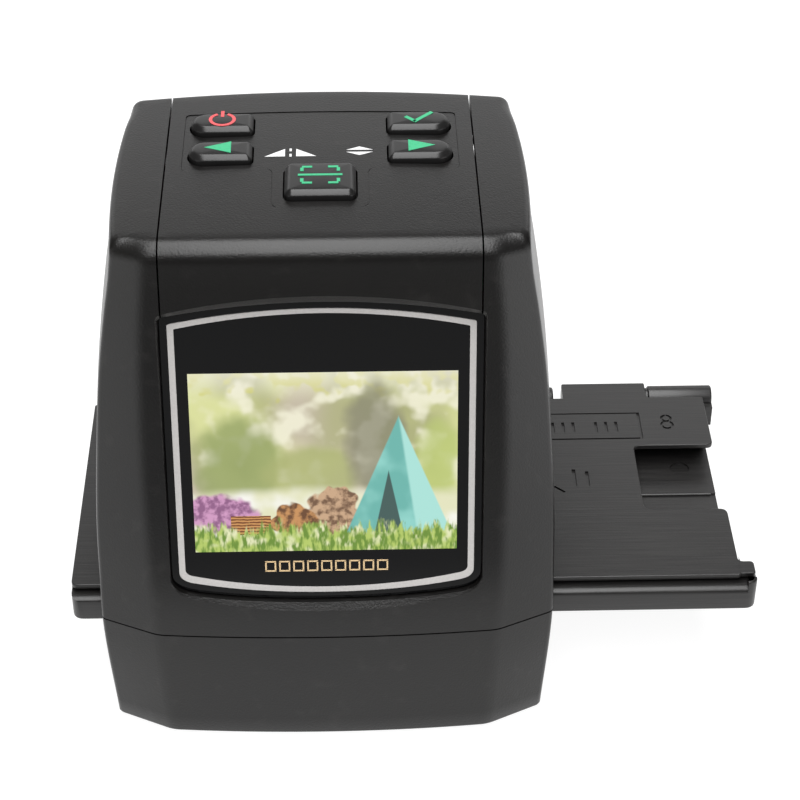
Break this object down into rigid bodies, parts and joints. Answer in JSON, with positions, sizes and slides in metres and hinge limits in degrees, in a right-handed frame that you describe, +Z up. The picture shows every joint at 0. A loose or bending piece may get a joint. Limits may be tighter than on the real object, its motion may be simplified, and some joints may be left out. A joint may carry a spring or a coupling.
{
  "type": "film negative scanner",
  "caption": "Desktop film scanner with a leaning colour display, push buttons on top and a sliding hinged film holder through its base.",
  "frame": {"origin": "middle of the flat underside of the case, just above the rubber feet", "axes": "+X to the user's right along the film holder, +Y to the back, +Z up"},
  "size_m": [0.1306, 0.0842, 0.1045],
  "materials": {
    "case_plastic": "satin",
    "holder_plastic": "fine brushed",
    "button_plastic": "satin gloss",
    "window_acrylic": "gloss",
    "silver_ink": "satin silver",
    "display_glass": "lit",
    "inner_plastic": "matte",
    "circuit_board": "solder mask",
    "steel": "bright",
    "white_plastic": "milky",
    "lens_glass": "polished",
    "foot_rubber": "matte",
    "ribbon_film": "amber film"
  },
  "bodies": {
    "case": {"base_housing": "case_plastic", "main_housing": "case_plastic", "top_cover": "case_plastic", "rear_cover": "case_plastic", "screen_window": "window_acrylic", "window_trim": "silver_ink", "display_panel": "display_glass", "display_frame": "steel", "usb_socket": "steel", "card_socket": "steel", "detent_spring": "steel", "base_screw_1": "steel", "base_screw_2": "steel", "base_screw_3": "steel", "base_screw_4": "steel", "rear_screw_left": "steel", "rear_screw_right": "steel", "switch_power": "inner_plastic", "switch_ok": "inner_plastic", "switch_left": "inner_plastic", "switch_right": "inner_plastic", "switch_scan": "inner_plastic", "chassis_plate": "inner_plastic", "optical_hood": "inner_plastic", "lens_holder": "inner_plastic", "image_sensor": "inner_plastic", "video_jack": "inner_plastic", "button_board": "circuit_board", "sensor_board": "circuit_board", "main_board": "circuit_board", "light_box": "white_plastic", "diffuser": "white_plastic", "led_board": "white_plastic", "led_1": "white_plastic", "led_2": "white_plastic", "led_3": "white_plastic", "led_4": "white_plastic", "lens": "lens_glass", "display_flex": "ribbon_film", "sensor_flex": "ribbon_film", "button_flex": "ribbon_film", "foot_1": "foot_rubber", "foot_2": "foot_rubber", "foot_3": "foot_rubber", "foot_4": "foot_rubber"},
    "holder": {"holder_base": "holder_plastic", "hinge_pin_left": "steel", "hinge_pin_right": "steel"},
    "lid": {"holder_lid": "holder_plastic"},
    "button_power_body": {"button_power": "button_plastic"},
    "button_ok_body": {"button_ok": "button_plastic"},
    "button_left_body": {"button_left": "button_plastic"},
    "button_right_body": {"button_right": "button_plastic"},
    "button_scan_body": {"button_scan": "button_plastic"}
  },
  "joints": [
    {"name": "holder_slide", "type": "slide", "parent": "case", "child": "holder", "axis": [1, 0, 0], "range_m": [-0.126, 0.094]},
    {"name": "lid_hinge", "type": "hinge", "parent": "holder", "child": "lid", "pos_m": [0.0166, 0.0318, 0.0233], "axis": [-1, 0, 0], "range_deg": [0, 1.2]},
    {"name": "power_press", "type": "slide", "parent": "case", "child": "button_power_body", "axis": [0, 0, -1], "range_m": [0, 0.0006], "stiffness_N_per_m": 2000, "springref_m": -0.0003},
    {"name": "ok_press", "type": "slide", "parent": "case", "child": "button_ok_body", "axis": [0, 0, -1], "range_m": [0, 0.0006], "stiffness_N_per_m": 2000, "springref_m": -0.0003},
    {"name": "left_press", "type": "slide", "parent": "case", "child": "button_left_body", "axis": [0, 0, -1], "range_m": [0, 0.0006], "stiffness_N_per_m": 2000, "springref_m": -0.0003},
    {"name": "right_press", "type": "slide", "parent": "case", "child": "button_right_body", "axis": [0, 0, -1], "range_m": [0, 0.0006], "stiffness_N_per_m": 2000, "springref_m": -0.0003},
    {"name": "scan_press", "type": "slide", "parent": "case", "child": "button_scan_body", "axis": [0, 0, -1], "range_m": [0, 0.0006], "stiffness_N_per_m": 2000, "springref_m": -0.0003}
  ]
}
